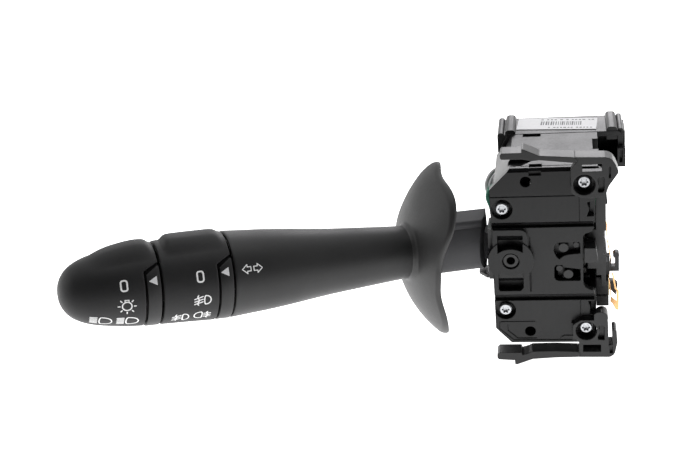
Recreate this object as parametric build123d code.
from build123d import *
import math
import os

# Combination stalk switch: switch housing with a light stalk.
# Millimetres. +Z up, +X towards the steering column, +Y away from the driver.
# The origin is midway between the two locating holes on the face of the front cover.

# ---------------------------------------------------------------- driving dimensions
LOC_HALF = 31.3            # locating holes above and below the origin
LOC_R = 2.1
COVER_T = 3.0              # front cover thickness
COVER_OUT = [(-13.4, 28.4), (-5.7, 36.3), (26.2, 36.3), (28.0, 34.4), (28.0, 27.4), (24.8, 25.6), (24.6, 12.2),
             (23.7, 10.6), (21.3, 9.8), (20.5, 8.6), (20.4, -11.2), (21.1, -12.5), (22.5, -13.4), (24.3, -14.0),
             (24.7, -15.6), (24.7, -34.2), (22.6, -36.2), (-7.3, -36.2), (-13.2, -29.8)]
SCREW_L = [(-9.1, 20.4), (-9.2, -21.9)]
SCREW_R = [(21.2, 30.75), (21.2, -29.7)]
HEAD_R, HEAD_H, RECESS_R = 2.5, 1.9, 4.0
PLATE_Y, BOSS_Y = -1.6, -2.2 # raised plate and boss on the front cover
SHANK_R, SHANK_CLEAR_R = 1.45, 1.6
EAR_BOSS_R, EAR_BOSS_Y = 4.9, 2.1   # bosses of the latch ears, sunk into the front cover
REAR_SCREWS = [(-4.0, 27.0), (21.5, 27.0), (-4.0, -27.0), (21.5, -27.0)]
PIV_X, PIV_Y = -6.4, 17.8  # both pivot axes pass through (PIV_X, PIV_Y, 0)
BOSS_R = 8.6
TRUN_R, TRUN_HOLE_R, TRUN_BORE_R = 3.22, 3.30, 1.6
PULL_PIN_R, PULL_HOLE_R = 2.0, 2.06
LEAN, RISE = 28.45, 7.0    # the stalk leans to the driver and rises to its tip, degrees
SHELL_Y0, SHELL_Y1 = 3.0, 36.0
WALL = 2.0
REAR_Y1 = 54.0
STALK_LEN = 175.4          # from the pivots to the tip
GAP1, GAP2 = 141.5, 116.0  # ring joints along the stalk
POINTER_W = 5.4            # width of each pointer ring
SLEEVE_PROFILE = [(42.4, 10.0), (46.5, 10.0), (60.0, 10.96), (76.0, 12.2), (92.0, 13.9), (108.0, 15.2), (115.8, 15.8)]
KNOB_PROFILE = [(147.1, 14.6), (150.5, 14.3), (154.0, 13.9), (158.0, 13.35), (162.0, 12.6), (166.0, 11.5),
                (169.0, 10.2), (171.6, 8.5), (173.6, 6.2), (174.9, 3.4), (175.4, 0.0)]
SHIELD_R, SHIELD_T = 45.9, 1.9
# Outline of the shield, as (angle to the front, angle up) from the stalk's axis, degrees.
SHIELD_EDGE = [(-15.5, 43.6), (1.4, 41.8), (15.0, 38.4), (22.8, 34.6), (27.2, 29.6), (29.3, 24.2), (29.8, 18.5),
               (28.2, 10.5), (26.9, 3.6), (26.7, -5.2), (26.1, -13.4), (26.6, -24.6), (24.6, -33.6),
               (18.0, -43.0), (7.6, -48.1), (-4.0, -46.5), (-14.0, -37.0), (-21.0, -24.0), (-23.5, -10.0),
               (-21.5, 3.0), (-20.0, 12.2), (-18.4, 22.0), (-18.2, 31.0), (-18.0, 38.5)]
RING_STEP = 30.0           # between the positions of the light knob and of the fog ring
TAIL_X = 24.0              # end of the detent plunger
CAM_R = 30.8
SLIDE_R_IND, SLIDE_R_BEAM = 22.4, 26.9
LATCH_X, LATCH_ZU, LATCH_ZL = 18.0, 40.5, 40.05   # roots of the latch arms
LATCH_PIN_R, LATCH_SOCKET_R = 0.85, 0.93
WIRE_R = 0.8

os.makedirs("parts", exist_ok=True)


# ---------------------------------------------------------------- helpers
def bx(x0, x1, y0, y1, z0, z1):
    return Pos((x0 + x1) / 2, (y0 + y1) / 2, (z0 + z1) / 2) * Box(x1 - x0, y1 - y0, z1 - z0)


def cy(x, z, r, y0, y1):
    return Pos(x, (y0 + y1) / 2, z) * Rot(90, 0, 0) * Cylinder(r, y1 - y0)


def cz(x, y, r, z0, z1):
    return Pos(x, y, (z0 + z1) / 2) * Cylinder(r, z1 - z0)


def cx(y, z, r, x0, x1):
    return Pos((x0 + x1) / 2, y, z) * Rot(0, 90, 0) * Cylinder(r, x1 - x0)


def prism_y(pts, y0, y1):
    face = make_face(Polyline(*[(x, y0, z) for x, z in pts], close=True))
    return extrude(face, amount=y1 - y0, dir=(0, 1, 0))


def prism_x(pts, x0, x1):
    face = make_face(Polyline(*[(x0, y, z) for y, z in pts], close=True))
    return extrude(face, amount=x1 - x0, dir=(1, 0, 0))


def prism_z(pts, z0, z1):
    face = make_face(Polyline(*[(x, y, z0) for x, y in pts], close=True))
    return extrude(face, amount=z1 - z0, dir=(0, 0, 1))


def inset(pts, by):
    """Moves each side of a convex-ish outline inwards by the given distance."""
    n = len(pts)
    area = sum(pts[i][0] * pts[(i + 1) % n][1] - pts[(i + 1) % n][0] * pts[i][1] for i in range(n))
    sign = 1 if area > 0 else -1
    lines = []
    for i in range(n):
        (x0, z0), (x1, z1) = pts[i], pts[(i + 1) % n]
        length = math.hypot(x1 - x0, z1 - z0)
        nx, nz = -(z1 - z0) / length * sign, (x1 - x0) / length * sign
        lines.append((x0 + nx * by, z0 + nz * by, x1 - x0, z1 - z0))
    out = []
    for i in range(n):
        ax, az, adx, adz = lines[i - 1]
        bx_, bz_, bdx, bdz = lines[i]
        det = adx * bdz - adz * bdx
        t = ((bx_ - ax) * bdz - (bz_ - az) * bdx) / det
        out.append((ax + adx * t, az + adz * t))
    return out


def tube(path_pts, radii, r):
    """A wire along straight runs joined by tangent arcs."""
    path = FilletPolyline(*path_pts, radius=radii)
    start = Plane(origin=path @ 0, z_dir=path % 0)
    return sweep(start * Circle(r), path=path), path.length


def coil(radius, wire, turns, length):
    """A coil spring standing on the local origin along +Z."""
    helix = Helix(pitch=length / turns, height=length, radius=radius)
    start = Plane(origin=helix @ 0, z_dir=helix % 0)
    return sweep(start * Circle(wire), path=helix, is_frenet=True)


def write(node, shape):
    export_step(shape, "parts/" + node + ".step")


def group(*shapes):
    solids = []
    for shape in shapes:
        solids += list(shape.solids())
    return Compound(children=solids)


# stalk frame: local z along the stalk to its tip, local x up, local -y to the front
a, b = math.radians(LEAN), math.radians(RISE)
D = Vector(-math.cos(a) * math.cos(b), -math.sin(a) * math.cos(b), math.sin(b))
UPV = Vector(0, 0, 1) - D * D.Z
UPV = UPV.normalized()
PIV = Vector(PIV_X, PIV_Y, 0)
STALK = Plane(origin=PIV, x_dir=UPV, z_dir=D)


def on_stalk(shape):
    return STALK.location * shape


def turned(profile):
    """Solid of revolution about the local z axis from (s, r) points with a smooth outer line."""
    pts = [(r, 0, s) for s, r in profile]
    outer = Spline(*pts)
    first, last = pts[0], pts[-1]
    edges = [outer]
    if last[0] > 1e-6:
        edges.append(Line(last, (0, 0, last[2])))
    edges.append(Line((0, 0, last[2]), (0, 0, first[2])))
    edges.append(Line((0, 0, first[2]), first))
    face = make_face(Wire(edges))
    return revolve(face, axis=Axis.Z, revolution_arc=360)


def turned_poly(profile):
    """Solid of revolution about the local z axis from straight-sided (s, r) points."""
    pts = [(0, 0, profile[0][0])] + [(r, 0, s) for s, r in profile] + [(0, 0, profile[-1][0])]
    face = make_face(Polyline(*pts, close=True))
    return revolve(face, axis=Axis.Z, revolution_arc=360)


def ring(r0, r1, s0, s1):
    return Pos(0, 0, (s0 + s1) / 2) * (Cylinder(r1, s1 - s0) - Cylinder(r0, s1 - s0 + 1))


def rod(r, s0, s1):
    return Pos(0, 0, (s0 + s1) / 2) * Cylinder(r, s1 - s0)


def wedge(theta0, theta1, r, s0, s1):
    """Sector about the local axis. Angles run from the top (0) over the front (90) to the bottom (180)."""
    n = max(2, int(abs(theta1 - theta0) / 15) + 1)
    pts = [(0, 0, s0)]
    for i in range(n + 1):
        t = math.radians(theta0 + (theta1 - theta0) * i / n)
        pts.append((r * math.cos(t), -r * math.sin(t), s0))
    face = make_face(Polyline(*pts, close=True))
    return extrude(face, amount=s1 - s0, dir=(0, 0, 1))


def at_theta(theta, r, s):
    t = math.radians(theta)
    return Pos(r * math.cos(t), -r * math.sin(t), s)


# ================================================================= housing body
# ---- front cover
cover = prism_y(COVER_OUT, 0, COVER_T)
plate_pts = [(-12.9, 12.6), (-2.9, 12.6), (-1.5, 12.3), (-0.5, 11.5), (0.0, 10.3), (0.1, 8.4), (0.4, -13.9), (-12.9, -13.9)]
cover += prism_y(plate_pts, PLATE_Y, COVER_T)
cover += cy(PIV_X, 0, BOSS_R, BOSS_Y, COVER_T)
for x, z in SCREW_L:
    cover += cy(x, z, 4.9, 2.9, 6.4) & bx(-9.9, 5, 2.5, 6.5, -40, 40)
# backing rings of the locating holes
for sz in (1, -1):
    cover += cy(0, sz * LOC_HALF, 2.9, 2.9, 4.6)
# seats of the cancelling springs on the inner face
cover += bx(15.4, 19.4, 2.9, 6.8, 12.8, 13.8)
cover += bx(11.8, 15.8, 2.9, 6.8, -16.4, -15.2)
# pivot pockets with falling floors
pocket = prism_y([(-11.2, 10.4), (-1.7, 10.3), (-1.8, 3.0), (-11.3, 3.0)], -3, 4) - cy(PIV_X, -3.1, 8.0, -4, 5)
cover -= pocket & prism_x([(-3, 11), (-0.8, 11), (-0.3, 9.9), (2.0, 6.9), (2.2, 2.0), (-3, 2.0)], -14, 2)
pocket = prism_y([(-11.2, -4.4), (-1.8, -4.4), (-1.9, -11.6), (-3.1, -12.9), (-10.9, -12.9), (-11.4, -12.0)], -3, 4)
pocket -= cy(PIV_X, 3.1, 9.2, -4, 5)
cover -= pocket & prism_x([(-3, -4), (-0.8, -4), (-0.2, -8.0), (2.0, -10.2), (2.2, -13.4), (-3, -13.4)], -14, 2)
# windows
cover -= prism_y([(9.6, 2.9), (9.8, 5.0), (10.3, 5.9), (11.2, 6.4), (19.1, 6.4), (19.5, 6.0), (19.5, 1.7), (15.0, 1.3), (13.2, 0.7),
                  (11.7, -0.6), (10.6, 0.4)], -1, 4)
cover -= prism_y([(9.7, -4.0), (10.4, -3.0), (12.6, -3.0), (13.7, -4.0), (16.5, -4.4), (19.5, -4.9), (19.5, -9.3), (19.1, -9.7),
                  (11.3, -9.7), (10.2, -9.2), (9.6, -8.2)], -1, 4)
# horizontal grooves with a slanted upper flank
cover -= prism_x([(-0.1, 15.1), (1.2, 13.9), (1.9, 13.8), (1.9, 12.7), (-2.0, 12.7), (-2.0, 15.1)], -15, 30)
cover -= prism_x([(-0.1, -15.2), (1.2, -16.2), (1.9, -16.3), (1.9, -17.8), (-1.0, -17.9), (-1.0, -15.2)], -15, 30)
# fine parting lines on the face
cover -= bx(19.1, 19.4, -1, 0.35, 14.9, 25.6)
cover -= bx(19.1, 19.4, -1, 0.35, -25.0, -18.2)
cover -= bx(-13.5, 19.4, -1, 0.4, 25.2, 25.6)
for pts in ([(-11.7, -27.0), (-12.0, -30.0), (-6.4, -35.3), (15.9, -35.4), (15.9, -35.0), (-6.2, -34.9), (-11.6, -29.9), (-11.3, -27.0)],
            [(-8.7, -28.4), (-8.7, -30.9), (-4.9, -34.5), (2.4, -34.5), (2.4, -34.1), (-4.7, -34.1), (-8.3, -30.7), (-8.3, -28.4)],
            [(10.8, -35.2), (11.6, -33.6), (12.8, -32.9), (17.0, -32.9), (17.0, -33.4), (13.0, -33.4), (12.0, -33.9), (11.3, -35.2)]):
    cover -= prism_y(pts, -1, 0.35)
cover -= bx(-11.6, 2.0, -1, 0.3, -27.1, -26.8)
cover -= bx(0.5, 0.95, -1.0, 0.6, -14.0, 9.0)
cover -= bx(15.8, 17.0, -1, 1.4, -27.9, -26.5)
# openings beside the right edge
cover -= prism_y([(22.0, 22.4), (25.0, 23.4), (25.0, 17.0), (21.9, 16.8), (22.9, 19.6)], -1, 4)
cover -= prism_y([(22.0, -18.6), (25.0, -18.2), (25.0, -24.2), (22.6, -24.2), (22.9, -21.0)], -1, 4)
# bevel along the upper front edge with a notch, and a slot behind it
cover -= prism_x([(-0.2, 34.9), (-0.2, 36.7), (1.6, 36.7)], -8, 30)
cover -= bx(1.2, 5.7, -1, 1.3, 33.7, 35.3)
cover -= bx(1.4, 6.1, 1.8, 4, 34.4, 37)
# screw recesses and holes
for x, z in SCREW_L:
    cover -= cy(x, z, RECESS_R, -1, 2.2)
    cover -= (cy(x, z, RECESS_R, 2.1, 4.6) - cy(x, z, 2.75, 2.0, 5.0)) & bx(-9.8, 5, 2.0, 4.7, -40, 40)
    cover -= cy(x, z, SHANK_CLEAR_R, 1, 7)
for x, z in SCREW_R:
    cover -= cy(x, z, EAR_BOSS_R + 0.05, -1, EAR_BOSS_Y + 0.05)
    cover -= cy(x, z, SHANK_CLEAR_R, -1, 6)
for sz in (1, -1):
    cover -= cy(0, sz * LOC_HALF, LOC_R, -1, 6)
# pivot hole
cover -= cy(PIV_X, 0, TRUN_HOLE_R, -4, 4)
write("front_cover", cover)

# ---- housing shell
SHELL_OUT = [(-12.0, 28.0), (-5.6, 36.4), (27.0, 36.4), (27.0, 27.0), (25.2, 25.2), (25.2, -36.4), (-6.6, -36.4), (-12.0, -30.0)]
shell = prism_y(SHELL_OUT, SHELL_Y0, SHELL_Y1) - prism_y(inset(SHELL_OUT, WALL), SHELL_Y0 - 1, SHELL_Y1 - 2.0)
# opening for the arm on the left and for the cancelling finger on the right
shell -= bx(-13, -9, 2, 32.2, -13.4, 13.4)
shell -= bx(22, 28, 2, 25.0, -14.5, 13.0)
# rear wall: openings to the contact chamber
shell -= bx(9.7, 18.9, 33, 37, -20.0, 20.0)
# bearing wall and rear trunnion seat
shell += bx(-10.2, 3.6, 32.2, 34.2, -15.0, 15.0)
shell += cy(PIV_X, 0, 5.4, 32.2, 35.9) & bx(-12, 5, 32.1, 35.9, -6, 6)
shell -= cy(PIV_X, 0, TRUN_HOLE_R, 30, 35.0)
# screw posts
for x, z in SCREW_L:
    post = cy(x, z, 3.6, 6.6, 24.0) + bx(-10.5, x, 6.6, 24.0, z - 1.2, z + 1.2)
    shell += post
    shell -= cy(x, z, 1.5, 2, 20)
for x, z in SCREW_R:
    sz = 1 if z > 0 else -1
    post = cy(x, z, 3.6, 3.0, 24.0) + bx(x - 1.2, x + 1.2, 3.0, 24.0, min(z, sz * 35.4), max(z, sz * 35.4))
    shell += post
    shell -= cy(x, z, 1.5, 2, 20)
# top details: slots and the pocket under the latch arm
shell -= bx(-1.4, 5.4, 32.9, 36.1, 34.9, 37)
shell -= bx(1.4, 6.1, 2.0, 4.6, 34.4, 37)
shell -= prism_z([(-6.4, 10.0), (-6.4, 5.0), (-5.0, 3.4), (-2.0, 2.6), (0.6, 5.6), (2.8, 8.2), (3.4, 10.0)], 34.7, 37)
# deep corner pocket at the upper left, closed below
corner = prism_z([(-13, 21.6), (-11.2, 21.6), (-9.6, 25.6), (-6.9, 34.6), (-6.4, 36.1), (-13, 36.1)], 30.8, 37)
shell -= corner
shell += bx(-12, -6.0, 21.0, 36.0, 29.6, 31.2) & prism_y(SHELL_OUT, SHELL_Y0, SHELL_Y1)
# recess at the right of the top
shell -= bx(24.9, 28, 17.9, 28.7, 30.0, 37)
# guide rails for the beam slider on the inner side walls
for sz in (1, -1):
    shell += bx(18.6, 22.8, 9.0, 34.2, sz * 12.5 - 0.5, sz * 12.5 + 0.5)
# locating posts for the two front holes
for sz in (1, -1):
    shell += bx(-1.0, 1.0, 5.2, 30.0, min(sz * 29.0, sz * 35.0), max(sz * 29.0, sz * 35.0)) - cy(0, sz * LOC_HALF, 3.2, 2, 26)
# left side ribs
for z in (17.5, 25.5, -17.5, -25.5):
    shell += bx(-12.8, -11.8, 8.0, 20.0, z - 0.6, z + 0.6)
# opening in the left side where the wires leave
shell -= bx(-13, -9.5, 22.8, 33.5, 17.4, 28.0)
# posts for the rear screws
for x, z in REAR_SCREWS:
    shell += cy(x, z, 3.0, 25.5, 34.2)
    shell -= cy(x, z, 1.5, 24, 37)
write("housing_shell", shell)

# ---- rear shell with the vertical ribs
REAR_OUT = [(-11.0, 29.5), (-8.0, 35.0), (-8.0, 36.5), (34.8, 36.5), (36.4, 35.8), (36.9, 34.6), (36.9, 24.2), (35.2, 22.6),
            (30.6, 21.4), (29.8, 20.0), (29.8, -33.0), (26.6, -35.6), (-6.5, -35.6), (-11.0, -31.0)]


def rib(x0, x1, y0, y1, z0, z1, r):
    """Rib along y with a rounded crest."""
    body = bx(x0, x1, y0, y1, z0, z1)
    return fillet(body.edges().filter_by(Axis.Y).group_by(Axis.Z)[-1], r)


rear = prism_y(REAR_OUT, SHELL_Y1, REAR_Y1) - prism_y(inset(REAR_OUT, 2.0), SHELL_Y1 - 1, REAR_Y1 - 2.0)
rear += rib(-8.4, -4.3, 36.4, REAR_Y1, 33.0, 38.0, 1.5)
rear += rib(-11.4, -8.7, 36.4, REAR_Y1, 29.0, 36.9, 1.2)
rear += rib(30.6, 34.8, 36.2, REAR_Y1, 33.0, 38.2, 1.5)
rear += rib(34.9, 37.0, 37.0, REAR_Y1, 33.0, 37.2, 0.9)
rear += rib(36.4, 37.8, 39.0, 51.0, 22.8, 35.6, 0.6)
rear += bx(-9.5, -7.5, 36.4, REAR_Y1, 31.0, 36.1)
rear += bx(34.0, 35.6, 37.0, REAR_Y1, 33.0, 36.4)
# clip frame at the column side corner
rear += bx(34.6, 37.7, 33.0, 37.0, 22.8, 30.4)
rear -= prism_y([(35.3, 24.6), (36.5, 24.6), (36.7, 29.7), (35.5, 29.7)], 32.5, 35.6)
# electrical connector shroud: a socket open at the back
shroud = bx(-3.0, 27.0, 42.0, REAR_Y1, -10.0, 10.0) - bx(-1.0, 25.0, 44.0, REAR_Y1 + 1, -8.0, 8.0)
rear -= bx(-3.0, 27.0, 51, 55, -10.0, 10.0)
rear += shroud
rear -= bx(10.0, 14.0, 50.5, 55, 7.0, 9.0)
rear_pin_x = [1.5 + 3.5 * i for i in range(7)]
for x in rear_pin_x:
    for z in (3.4, -3.4):
        rear -= bx(x - 0.7, x + 0.7, 41, 45, z - 0.45, z + 0.45)
# screw bosses at the back
for x, z in REAR_SCREWS:
    rear += cy(x, z, 3.6, 36.6, REAR_Y1)
    rear -= cy(x, z, 2.9, 51.6, 55)
    rear -= cy(x, z, 1.6, 30, 55)
# raised frame around the label seat and stiffening rib lines on the back
rear += bx(-4.6, 27.8, 51.9, REAR_Y1, 30.6, 31.4)
for z in (19.0, 23.0, 27.0):
    rear += bx(26.0, 36.0, 53.0, REAR_Y1, z - 0.4, z + 0.4) & bx(25.5, 29.6 if z < 21 else 36.0, 52, 55, 0, 40)
rear += bx(-7.0, 30.0, 53.0, REAR_Y1 + 0.0, -31.4, -30.6)
write("rear_shell", rear)

rear_screws = []
for x, z in REAR_SCREWS:
    s = cy(x, z, HEAD_R, 51.6, 53.4) + cy(x, z, SHANK_R, 27.0, 51.8)
    s -= cy(x, z, 0.9, 52.6, 54)
    rear_screws.append(s)
write("rear_cover_screws", group(*rear_screws))

# ---- cover screws, heads with a six-lobed socket
front_screws = []
for (x, z), y_seat in [(p, 2.2) for p in SCREW_L] + [(p, 1.4) for p in SCREW_R]:
    head = cy(x, z, HEAD_R, y_seat - HEAD_H, y_seat)
    head = chamfer(head.edges().group_by(Axis.Y)[0], 0.45)
    s = head + cy(x, z, SHANK_R, y_seat - 0.1, 18.0)
    lobe = cy(x, z, 1.05, y_seat - HEAD_H - 1, y_seat - HEAD_H + 1.2)
    for k in range(6):
        t = math.radians(60 * k)
        lobe += cy(x + 1.15 * math.cos(t), z + 1.15 * math.sin(t), 0.38, y_seat - HEAD_H - 1, y_seat - HEAD_H + 1.2)
    s -= lobe
    front_screws.append(s)
write("cover_screws", group(*front_screws))

# ---- latch brackets: moulded ears under the right-hand screws
def socket(ear, sign, z_root, z_window, screw):
    """Cuts the window, the screw recess and the root socket of the flexible arm into an ear."""
    z0, z1 = sorted((sign * z_window[0], sign * z_window[1]))
    ear -= bx(z_window[2], z_window[3], -4.0, z_window[4], z0, z1)
    ear -= cy(LATCH_X, sign * z_root, LATCH_SOCKET_R, -4.0, 5.0)
    x, z = screw
    ear += cy(x, z, EAR_BOSS_R, -0.1, EAR_BOSS_Y) & bx(16.0, 24.5 if sign < 0 else 30.0, -0.2, 3.0, -40, 40)
    ear -= cy(x, z, 4.05, -4, 1.4)
    ear -= (cy(x, z, 4.05, 1.3, 1.8) - cy(x, z, 2.75, 1.0, 2.0)) & bx(16.0, 24.0, 1.0, 2.0, -40, 40)
    ear -= cy(x, z, SHANK_CLEAR_R, -2, 3)
    return ear


ear = prism_y([(16.4, 28.0), (17.8, 26.6), (20.0, 25.7), (23.5, 25.4), (27.6, 25.8), (29.0, 27.2), (30.0, 30.1), (33.2, 34.8),
               (33.4, 35.6), (32.3, 38.5), (31.2, 40.2), (29.8, 41.0), (18.5, 41.4), (18.3, 39.2), (17.4, 38.6), (16.4, 36.6)], -3.0, -0.05)
# strip that carries the flexible arm and bends round the corner
ear += prism_y([(18.0, 39.4), (18.0, 41.6), (28.6, 41.3), (30.2, 40.9), (31.3, 40.1), (32.3, 38.5), (33.4, 35.6), (33.2, 34.9),
                (31.7, 34.9), (30.9, 37.6), (30.1, 39.0), (29.2, 39.4)], -3.0, 3.6)
ear += bx(27.9, 30.0, -3.0, 3.4, 37.0, 40.6)
ear += bx(18.6, 20.4, -3.0, 3.0, 36.8, 40.0)
ear = socket(ear, 1, LATCH_ZU, (35.9, 38.8, 20.5, 27.6, 5.0), SCREW_R[0])
# pocket right of the screw and the gap beside the corner
ear -= prism_y([(26.3, 27.6), (27.8, 27.6), (28.4, 28.4), (28.4, 33.6), (26.3, 33.6), (25.9, 32.6), (26.4, 30.0), (25.9, 28.2)], -4.0, -0.9)
ear -= bx(29.9, 30.7, -4.0, -1.2, 33.2, 37.6)
write("upper_latch_bracket", ear)

ear = prism_y([(16.2, -27.4), (17.2, -26.4), (19.2, -25.2), (24.2, -25.2), (24.2, -22.8), (25.2, -21.9), (26.9, -21.7), (28.3, -22.9),
               (29.0, -24.7), (29.4, -26.4), (29.6, -38.6), (29.6, -41.2), (18.5, -41.0), (18.4, -34.7), (17.2, -33.2), (16.2, -33.2)], -3.0, -0.05)
ear += prism_y([(18.0, -38.9), (18.0, -41.2), (29.6, -41.3), (29.6, -38.9)], -3.0, 3.6)
ear += bx(18.6, 29.4, -3.0, 3.4, -39.2, -36.9)
# rounded lug with its web down the right edge
ear += cy(27.15, -24.2, 2.3, -3.0, 2.4) + bx(27.9, 29.3, -3.0, 2.4, -34.0, -24.4)
# upturned hook
ear += prism_y([(30.9, -29.9), (31.3, -29.5), (32.0, -29.5), (32.6, -30.2), (32.9, -34.8), (32.0, -39.4), (31.3, -40.5), (30.2, -41.2),
                (29.4, -41.3), (29.4, -36.2), (31.1, -36.0)], -3.0, 3.6)
ear -= bx(29.9, 31.2, -3.5, -1.6, -39.6, -36.5)
ear = socket(ear, -1, LATCH_ZL, (35.8, 38.9, 19.9, 26.7, 2.9), SCREW_R[1])
ear -= prism_y([(25.9, -27.4), (27.4, -27.4), (28.1, -28.2), (28.1, -33.8), (25.6, -33.6), (25.4, -32.6), (26.2, -30.0), (25.8, -28.4)], -4.0, -0.9)
write("lower_latch_bracket", ear)

# ---- column side contact carrier: plate, contact block and clip rails
carrier_side = bx(27.4, 29.2, 9.5, 33.5, -17.0, 21.0)
# front plate seen beside the cover
carrier_side += bx(25.5, 29.2, 7.4, 9.6, -11.2, 23.6)
carrier_side += bx(22.3, 25.6, 7.4, 9.6, -8.4, 8.0)
carrier_side -= bx(28.3, 30.2, 7.0, 34.0, -2.6, 7.4)
carrier_side += bx(25.6, 30.3, 14.0, 26.0, -28.0, -15.6)
carrier_side += bx(27.4, 29.2, 14.0, 26.0, -19.0, -15.5)
carrier_side -= bx(26.8, 29.0, 16.0, 24.0, -26.4, -17.4)
carrier_side -= bx(29.25, 31.0, 13.0, 27.0, -17.3, -15.0)
carrier_side -= bx(25.0, 29.6, 13.5, 14.5, -23.6, -22.8)
# angled block between the contact blades
carrier_side += prism_y([(30.2, -20.0), (32.2, -20.0), (34.0, -21.5), (33.3, -26.3), (31.2, -23.9), (30.2, -23.9)], 19.7, 22.2)
for z in (17.5, -8.0):
    carrier_side += bx(29.0, 29.9, 10.5, 32.5, z - 0.5, z + 0.5)
carrier_side -= bx(26.5, 30.5, 12.0, 13.5, 9.0, 15.0)
# feet into the housing side
for z in (19.0, -15.0):
    carrier_side += bx(25.4, 27.6, 24.0, 33.0, z - 1.0, z + 1.0)
carrier_side -= bx(22.0, 27.1, 20, 35, 17.9, 20.1)
write("side_contact_carrier", carrier_side)

hook = bx(29.3, 34.5, 18.5, 21.5, -15.2, -13.2)
hook += bx(29.3, 30.9, 18.5, 21.5, -15.2, -8.6)
hook += bx(33.0, 34.5, 18.5, 21.5, -15.2, -8.2)
hook += cy(33.4, -8.4, 1.2, 18.5, 21.5)
hook += bx(29.3, 30.9, 19.4, 20.6, -17.2, -15.0)
write("wire_guide_hook", hook)

# ---- contact blades towards the column (bent strips, root in the contact block)
def blade(pts, y0, y1, t):
    left = [(x - t / 2, z) for x, z in pts]
    right = [(x + t / 2, z) for x, z in reversed(pts)]
    return prism_y(left + right, y0, y1)


blade_a = blade([(30.75, -20.8), (30.9, -17.8), (31.6, -12.2), (30.9, -8.0), (30.2, -4.0), (29.9, 0.0), (30.0, 3.2)], 22.6, 25.2, 0.35)
write("upper_contact_blade", blade_a)
blade_b = blade([(30.75, -19.4), (31.1, -23.5), (31.35, -26.6)], 16.0, 19.4, 0.35)
# folded contact foot and its stem, facing the front
blade_b += prism_y([(31.15, -25.7), (31.35, -25.2), (33.5, -27.2), (33.4, -26.4), (33.4, -22.4), (32.7, -21.8), (31.6, -14.8), (32.2, -14.8),
                    (33.3, -21.5), (34.3, -22.6), (34.2, -31.1), (33.1, -30.9), (31.8, -28.1), (31.0, -27.4)], 16.0, 16.35)
write("lower_contact_blade", blade_b)
terminals = group(bx(30.3, 30.55, 22.4, 25.4, -22.0, -18.8), bx(30.3, 30.55, 15.8, 19.6, -24.2, -18.6))
write("contact_terminals", terminals)

# ---- rating plate, blank
label = Pos(11.8, 45.8, 36.635) * Rot(0, 0, -4.0) * Box(31.0, 12.6, 0.17)
write("rating_label", label)

# ---- contact board at the back of the housing with its tracks
BOARD_Y0, BOARD_Y1 = 36.3, 37.9
board = bx(-6.5, 27.0, BOARD_Y0, BOARD_Y1, -22.0, 22.0)
for x in rear_pin_x:
    for z in (3.4, -3.4):
        board -= cy(x, z, 0.75, 36, 38.2)
write("contact_board", board)

tracks = []
for k, z in enumerate((-9.0, -6.0, 6.0, 9.0)):
    tracks.append(bx(9.8, 18.8, BOARD_Y0 - 0.2, BOARD_Y0, z - 0.8, z + 0.8))
for k, x in enumerate((10.6, 13.0, 15.4, 17.8)):
    tracks.append(bx(x - 0.6, x + 0.6, BOARD_Y0 - 0.2, BOARD_Y0, -20.0, -11.0))
write("contact_tracks", group(*tracks))

pins = []
for x in rear_pin_x:
    for z in (3.4, -3.4):
        pins.append(cy(x, z, 0.6, 36.35, 39.0) + bx(x - 0.55, x + 0.55, 38.8, 49.5, z - 0.32, z + 0.32))
write("connector_pins", group(*pins))

# ---- detent cam: block with a spherical seat around the pivots
cam = bx(23.2, 27.2, 11.5, 24.5, -8.0, 8.0)
cam -= Pos(PIV_X, PIV_Y, 0) * Sphere(CAM_R)
for z in (-4.24, 0.0, 4.24):
    cam -= Pos(TAIL_X + 0.2, PIV_Y, z) * Rot(90, 0, 0) * Cylinder(1.2, 20)
cam -= Pos(TAIL_X + 0.1, PIV_Y + 3.7, 0) * Cylinder(1.2, 20)
cam += bx(25.25, 27.2, 24.0, 34.5, -6.0, 6.0)
write("detent_cam", cam)

# ---- wires from the housing to the arm, on the left side
wire_specs = {
    "white_wire": [(-8.6, 29.6, 25.4), (-13.2, 28.4, 24.2), (-16.2, 25.6, 19.8), (-14.2, 22.9, 14.4), (-13.2, 20.6, 8.6)],
    "grey_wire": [(-8.8, 31.8, 22.6), (-13.2, 30.6, 21.2), (-15.0, 27.6, 16.8), (-13.2, 24.6, 12.4), (-12.0, 22.9, 8.4)],
    "green_wire": [(-8.8, 24.8, 20.6), (-13.2, 24.3, 20.0), (-16.2, 21.0, 16.6), (-14.9, 17.9, 13.0), (-13.4, 16.8, 8.5)],
}
for node, pts in wire_specs.items():
    radii = []
    for i in range(1, len(pts) - 1):
        p0, p1, p2 = (Vector(*pts[i + k]) for k in (-1, 0, 1))
        turn = (p1 - p0).get_angle(p2 - p1)
        radii.append(0.45 * min((p1 - p0).length, (p2 - p1).length) / math.tan(math.radians(turn) / 2))
    wire, length = tube(pts, radii, WIRE_R)
    print(node, "radii", [round(r, 1) for r in radii], "length", round(length, 1),
          "volume", round(wire.volume, 1), "section x length", round(math.pi * WIRE_R ** 2 * length, 1))
    write(node, wire)

# ================================================================= pivot carrier body
pc = bx(-15.0, 1.0, 4.0, 31.4, -10.4, 10.4) - bx(-16.0, 2.0, 6.4, 28.8, -7.6, 7.6)
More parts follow.
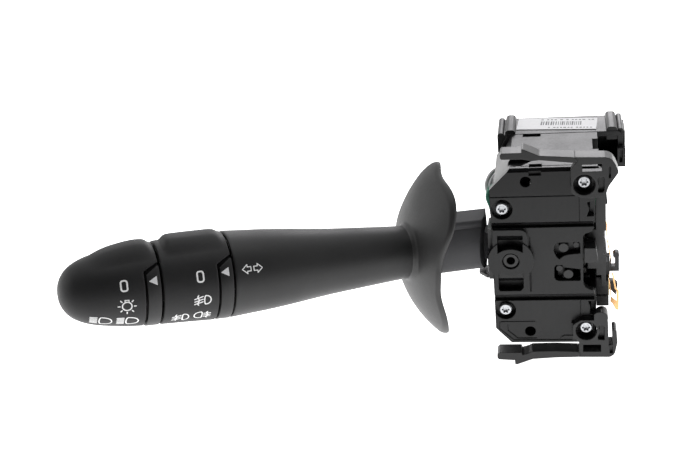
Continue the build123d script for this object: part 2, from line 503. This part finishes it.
# waisted front wall so the arm has room when it is pulled
pc -= prism_y([(-15.5, 3.2), (-15.5, -3.2), (-12.6, -1.6), (-12.6, 1.6)], 3.5, 6.6)
pc += cy(PIV_X, 0, TRUN_R, -1.7, 4.2)
pc -= cy(PIV_X, 0, TRUN_R + 0.2, -2.0, -0.4) - cy(PIV_X, 0, 2.75, -2.1, 0)
pc -= cy(PIV_X, 0, TRUN_BORE_R, -3.0, 6.6)
pc += cy(PIV_X, 0, TRUN_R, 31.2, 34.8)
pc += bx(-19.2, -14.8, 6.0, 15.0, -10.9, -9.7)
pc -= prism_z([(-19.3, 5.9), (-16.0, 5.9), (-19.3, 10.0)], -12, -9)
pc -= cz(PIV_X, PIV_Y, PULL_PIN_R + 0.02, -11, 11)
# end stops for the pull movement on the front and rear walls
pc += bx(-1.2, 0.9, 23.1, 29.0, -2.2, 2.2)
pc += bx(-1.2, 0.9, 6.2, 13.3, -2.2, 2.2)
# slot in the upper cheek where the wires run into the arm
pc -= bx(-15.2, -10.6, 15.2, 25.2, 7, 11)
write("pivot_carrier", pc)

pin = cz(PIV_X, PIV_Y, PULL_PIN_R, -10.3, 10.3)
write("pull_pivot_pin", pin)

# ================================================================= stalk body
# ---- arm: eye, neck, root and tail
ARM_END_S = 42.2
arm = on_stalk((Pos(0.9, 0, 24.0) * Cylinder(10.6, 36.4)) - (Pos(9.8 + 10, 0, 24) * Box(20, 40, 60)))
# raised top with a flat, slightly climbing face and rounded edges
crest = Pos(9.7, 0, 22.8) * Box(4.4, 12.9, 34.0)
crest = fillet(crest.edges().filter_by(Axis.Z).group_by(Axis.X)[-1], 1.5)
arm += on_stalk(crest)
# vertical end faces of the root
arm -= bx(-16.3, 20, -30, 60, -30, 30)
arm -= prism_z([(-15.3, 18.0), (-18.75, -6.2), (-18.75, -20.0), (0, -20), (0, 18.0)], -30, 30)
# hollow of the root
arm -= on_stalk(Pos(0.4, 0, 36.0) * Cylinder(8.4, 12.4)) & on_stalk(Pos(0.4 - 1.2, 0, 36.0) * Box(15.6, 30, 13))
arm += on_stalk(rod(8.6, 28.0, 30.4)) & on_stalk(Pos(-0.4, 0, 29) * Box(17.0, 30, 4))
arm += on_stalk(rod(8.05, 29.5, 58.0))
arm -= on_stalk(rod(6.05, 40.0, 60.0))
arm += on_stalk(Pos(0, 0, 13.0) * Box(11.0, 7.6, 16.0))
arm += cz(PIV_X, PIV_Y, 6.4, -7.2, 7.2)
arm += bx(-4.0, 13.0, PIV_Y - 4.0, PIV_Y + 4.0, -4.0, 4.0)
arm -= cz(PIV_X, PIV_Y, PULL_HOLE_R, -9, 9)
arm -= cx(PIV_Y, 0, 2.08, 2.0, 14.0)
write("stalk_arm", arm)

# ---- core tube that carries the rings and the knob
core = on_stalk(ring(4.4, 6.0, 41.0, 170.0))
core -= on_stalk(ring(5.5, 7.0, 167.2, 168.3))
write("stalk_core_tube", core)

# ---- tapered sleeve
outer = turned(SLEEVE_PROFILE)
inner = turned_poly([(41.0, 8.15), (46.5, 8.15), (60.0, 9.1), (76.0, 10.3), (92.0, 12.0), (108.0, 13.3), (113.6, 13.8)])
sleeve = outer - inner
sleeve -= rod(8.15, 40.0, 60.0)
sleeve -= rod(6.05, 100.0, 120.0)
write("stalk_sleeve", on_stalk(sleeve))

# ---- leaf-shaped spherical shield
edge = [(SHIELD_R * math.sin(math.radians(el)), -SHIELD_R * math.cos(math.radians(el)) * math.sin(math.radians(az)), 0) for az, el in SHIELD_EDGE]
leaf_face = make_face(Spline(*edge, periodic=True))
leaf = extrude(leaf_face, amount=60, dir=(0, 0, 1))
shield = (Sphere(SHIELD_R) - Sphere(SHIELD_R - SHIELD_T)) & leaf
shield -= rod(10.05, 30, 60)
write("cowl_shield", on_stalk(shield))


# ---- pointer rings (fixed) and their clearances
def pointer_ring(s0, r_out):
    s1 = s0 + POINTER_W
    body = ring(6.05, r_out - 2.2, s0 + 0.2, s0 + 1.8)
    body += ring(r_out - 3.4, r_out - 2.2, s0 + 0.2, s1 - 0.2)
    sector = ring(r_out - 2.4, r_out, s0 + 0.3, s1 - 0.2) & wedge(54.0, 212.0, 30, s0, s1)
    # slanted upper end of the sector
    nose = ring(r_out - 2.4, r_out, s0 + 0.3, s1 - 0.2) & wedge(41.0, 54.1, 30, s0, s1)
    cut = wedge(40.0, 47.0, 30, s0 + 2.2, s1 + 1) + wedge(46.9, 51.5, 30, s0 + 3.8, s1 + 1)
    body += sector + (nose - cut)
    # guide for the detent plunger at the bottom
    body += at_theta(180, 9.0, s0 + 3.4) * Cylinder(2.3, 6.4)
    body -= at_theta(180, 9.0, s0 + 4.8) * Cylinder(1.28, 8.0)
    return body


# the gap above the nose follows the step in the rotating part's rim
def rim(s0, r0, r1):
    """Long rim of a rotating part, from the rear over the top to the slanted step at the front."""
    s1 = s0 + POINTER_W
    body = ring(r0, r1, s0 + 0.3, s1 + 0.4) & wedge(-82.0, 39.0, 30, s0, s1 + 1)
    body += ring(r0, r1, s0 + 2.8, s1 + 0.4) & wedge(38.9, 44.6, 30, s0, s1 + 1)
    body += ring(r0, r1, s0 + 4.4, s1 + 0.4) & wedge(44.5, 49.6, 30, s0, s1 + 1)
    return body


fog_pointer = pointer_ring(GAP2, 15.75)
write("fog_pointer_ring", on_stalk(fog_pointer))
light_pointer = pointer_ring(GAP1, 14.85)
write("light_pointer_ring", on_stalk(light_pointer))

# ---- fixed contact plate inside the fog ring
plate = ring(6.05, 11.4, 134.6, 136.0)
plate += ring(6.05, 7.4, 132.8, 134.7)
write("ring_contact_plate", on_stalk(plate))
# ---- snap ring that holds the knob
clip = ring(5.55, 7.6, 167.3, 168.2) - wedge(-18, 18, 20, 166, 169)
write("knob_snap_ring", on_stalk(clip))

# ---- detent plungers and springs of the two rings
for name, s0 in (("fog", GAP2), ("light", GAP1)):
    # the plunger points to the tip and stops just short of the rotating web
    tip = s0 + 11.85
    plunger = at_theta(180, 9.0, 0) * (rod(1.2, s0 + 4.2, tip - 1.2) + Pos(0, 0, tip - 1.2) * Sphere(1.2))
    write(name + "_detent_plunger", on_stalk(plunger))
    spring = at_theta(180, 9.0, s0 + 1.25) * coil(0.85, 0.17, 5, 2.6)
    write(name + "_detent_spring", on_stalk(spring))

# ---- detent plunger of the stalk in the tail, with its spring
plunger = cx(PIV_Y, 0, 2.0, 8.0, TAIL_X - 1.6) + Pos(TAIL_X - 1.6 - 0.0, PIV_Y, 0) * Sphere(1.6)
write("stalk_detent_plunger", plunger)
spring = Pos(2.5, PIV_Y, 0) * Rot(0, 90, 0) * coil(1.55, 0.25, 5, 5.0)
write("stalk_detent_spring", spring)

# ================================================================= light knob body
knob = turned(KNOB_PROFILE)
cavity = turned_poly([(146.0, 12.7), (154.0, 12.0), (162.0, 10.6), (168.0, 8.4), (170.6, 6.6), (170.8, 0.01)])
knob -= cavity
knob += rim(GAP1, 12.95, 14.85)
# collar that joins the rim to the cap
knob += ring(12.5, 14.6, 147.15, 148.2)
# finger lug on the top
lug = turned([(143.2, 15.0), (145.6, 16.25), (149.0, 16.2), (153.0, 15.6), (157.0, 14.6), (161.0, 13.1), (163.0, 12.0)]) - rod(13.4, 140, 170)
lug = lug & (Pos(10, 0, 153) * Box(20, 10.6, 30))
knob += lug & ring(12.9, 20, 143, 162)
# web and hub that turn on the core tube
web = ring(6.08, 13.0, 153.5, 155.6) + ring(6.08, 8.4, 155.5, 166.9)
for k in (0, 1, 2):
    web -= at_theta(180 + RING_STEP * k, 9.0, 153.5) * Sphere(1.75)
knob += web & turned_poly([(146.0, 12.9), (154.0, 12.3), (162.0, 11.0), (168.0, 9.0)])
write("light_knob", on_stalk(knob))

rotor = ring(8.5, 11.0, 155.6, 156.0) - wedge(20, 60, 20, 155, 157)
write("knob_contact_rotor", on_stalk(rotor))

# ================================================================= fog ring body
fog = turned([(121.6, 15.75), (126.0, 15.55), (131.0, 15.3), (136.0, 15.1), (141.3, 14.9)])
fog -= rod(13.1, 120, 145)
fog += rim(GAP2, 13.85, 15.75)
fog += ring(13.0, 15.5, 121.6, 123.0)
lug = turned([(119.6, 15.8), (122.0, 17.1), (126.0, 17.15), (132.0, 17.1), (136.0, 16.9), (138.6, 15.2)]) - rod(14.2, 110, 145)
lug = lug & (Pos(10, 0, 129) * Box(20, 11.0, 30))
fog += lug
web = ring(6.08, 13.3, 128.0, 130.4) + ring(6.08, 7.6, 130.3, 132.5)
for k in (0, 1, 2):
    web -= at_theta(180 + RING_STEP * k, 9.0, 128.0) * Sphere(1.75)
fog += web
write("fog_ring", on_stalk(fog))

rotor = ring(7.9, 11.0, 130.4, 130.8) - wedge(20, 60, 20, 130, 132)
write("ring_contact_rotor", on_stalk(rotor))

# ================================================================= sliders
# indicator slider: up and down, its cross slot takes the plunger rod
ind = bx(15.0, 17.0, 9.0, 31.0, -5.5, 5.5)
ind -= bx(14.0, 18.0, 13.2, 26.6, -2.35, 2.35)
ind += bx(10.0, 18.6, 30.6, 35.2, -5.5, 5.5)
ind -= bx(9.0, 14.0, 30.0, 32.6, -6, 6)
write("indicator_slider", ind)
wip = group(*[bx(x - 0.7, x + 0.7, 35.2, 35.95, z - 0.5, z + 0.5) for x in (12.0, 16.0) for z in (-4.0, 4.0)])
write("indicator_wipers", wip)

# beam slider: to and fro, its cross slot takes the plunger rod
beam = bx(19.5, 21.5, 12.0, 24.6, -11.4, 11.4)
beam -= bx(19.0, 22.0, PIV_Y - 2.35, PIV_Y + 2.35, -7.6, 7.6)
for sz in (1, -1):
    beam += bx(19.3, 21.7, 10.0, 27.0, sz * 10.4 - 1.0, sz * 10.4 + 1.0)
write("beam_slider", beam)
wip = group(*[bx(19.8, 21.2, y - 0.5, y + 0.5, 11.4, 11.85) for y in (13.5, 18.5, 23.5)])
write("beam_wipers", wip)

# ================================================================= cancelling finger
finger = bx(7.0, 20.4, 3.5, 6.3, -9.0, 6.6)
finger -= bx(7.0, 11.0, 3.0, 6.8, -9.1, -4.5)
finger -= bx(16.5, 20.6, 3.0, 6.8, -9.1, -6.0)
finger += prism_y([(18.0, 5.0), (25.2, 5.0), (26.0, -1.4), (18.0, -1.4)], 3.5, 6.3)
finger += prism_y([(21.0, 4.6), (25.2, 4.6), (26.0, -1.3), (21.0, -1.3)], -1.8, 3.8)
finger += cy(18.0, 4.6, 1.1, 1.4, 3.6) + cy(11.6, -5.0, 1.2, 1.2, 3.6)
for x, z in ((13.3, 3.9), (14.9, -7.2)):
    finger += cy(x, z, 1.8, 0.6, 3.6)
finger -= cy(9.2, 0.0, 1.56, 3, 7)
write("cancel_finger", finger)
post = cy(9.2, 0.0, 1.5, 3.05, 8.4) + cy(9.2, 0.0, 2.4, 7.0, 8.4)
write("cancel_finger_pin", post)
springs = []
for x, z in ((17.4, 6.9), (13.8, -14.9)):
    springs.append(Pos(x, 4.9, z) * coil(1.3, 0.22, 5, 5.6))
write("cancel_springs", group(*springs))

# ================================================================= latch arms (flexible)
upper = prism_y([(LATCH_X, LATCH_ZU), (LATCH_X - 0.07, 41.6), (5.3, 42.6), (-0.5, 45.3), (-1.0, 45.3), (-1.0, 43.9), (-8.2, 43.9), (-8.8, 43.3), (-8.8, 42.0),
                 (-8.3, 41.5), (-0.9, 41.4), (2.9, 40.6), (5.2, 40.9), (LATCH_X - 0.07, 39.4)], -3.0, 3.6)
upper += cy(LATCH_X, LATCH_ZU, LATCH_PIN_R, -3.0, 3.6)
write("upper_latch_arm", upper)
lower = prism_y([(LATCH_X - 0.07, -38.9), (LATCH_X, -LATCH_ZL), (LATCH_X - 0.07, -41.2), (9.2, -41.4), (0.7, -42.0), (-5.5, -44.4), (-6.2, -44.2), (-6.3, -42.5), (-12.4, -42.1),
                 (-13.0, -41.4), (-13.0, -40.0), (-12.2, -39.1), (-3.7, -39.1), (-3.3, -40.2), (-0.7, -39.4), (0.5, -38.7), (9.3, -38.5)], -3.0, 3.6)
lower += cy(LATCH_X, -LATCH_ZL, LATCH_PIN_R, -3.0, 3.6)
write("lower_latch_arm", lower)
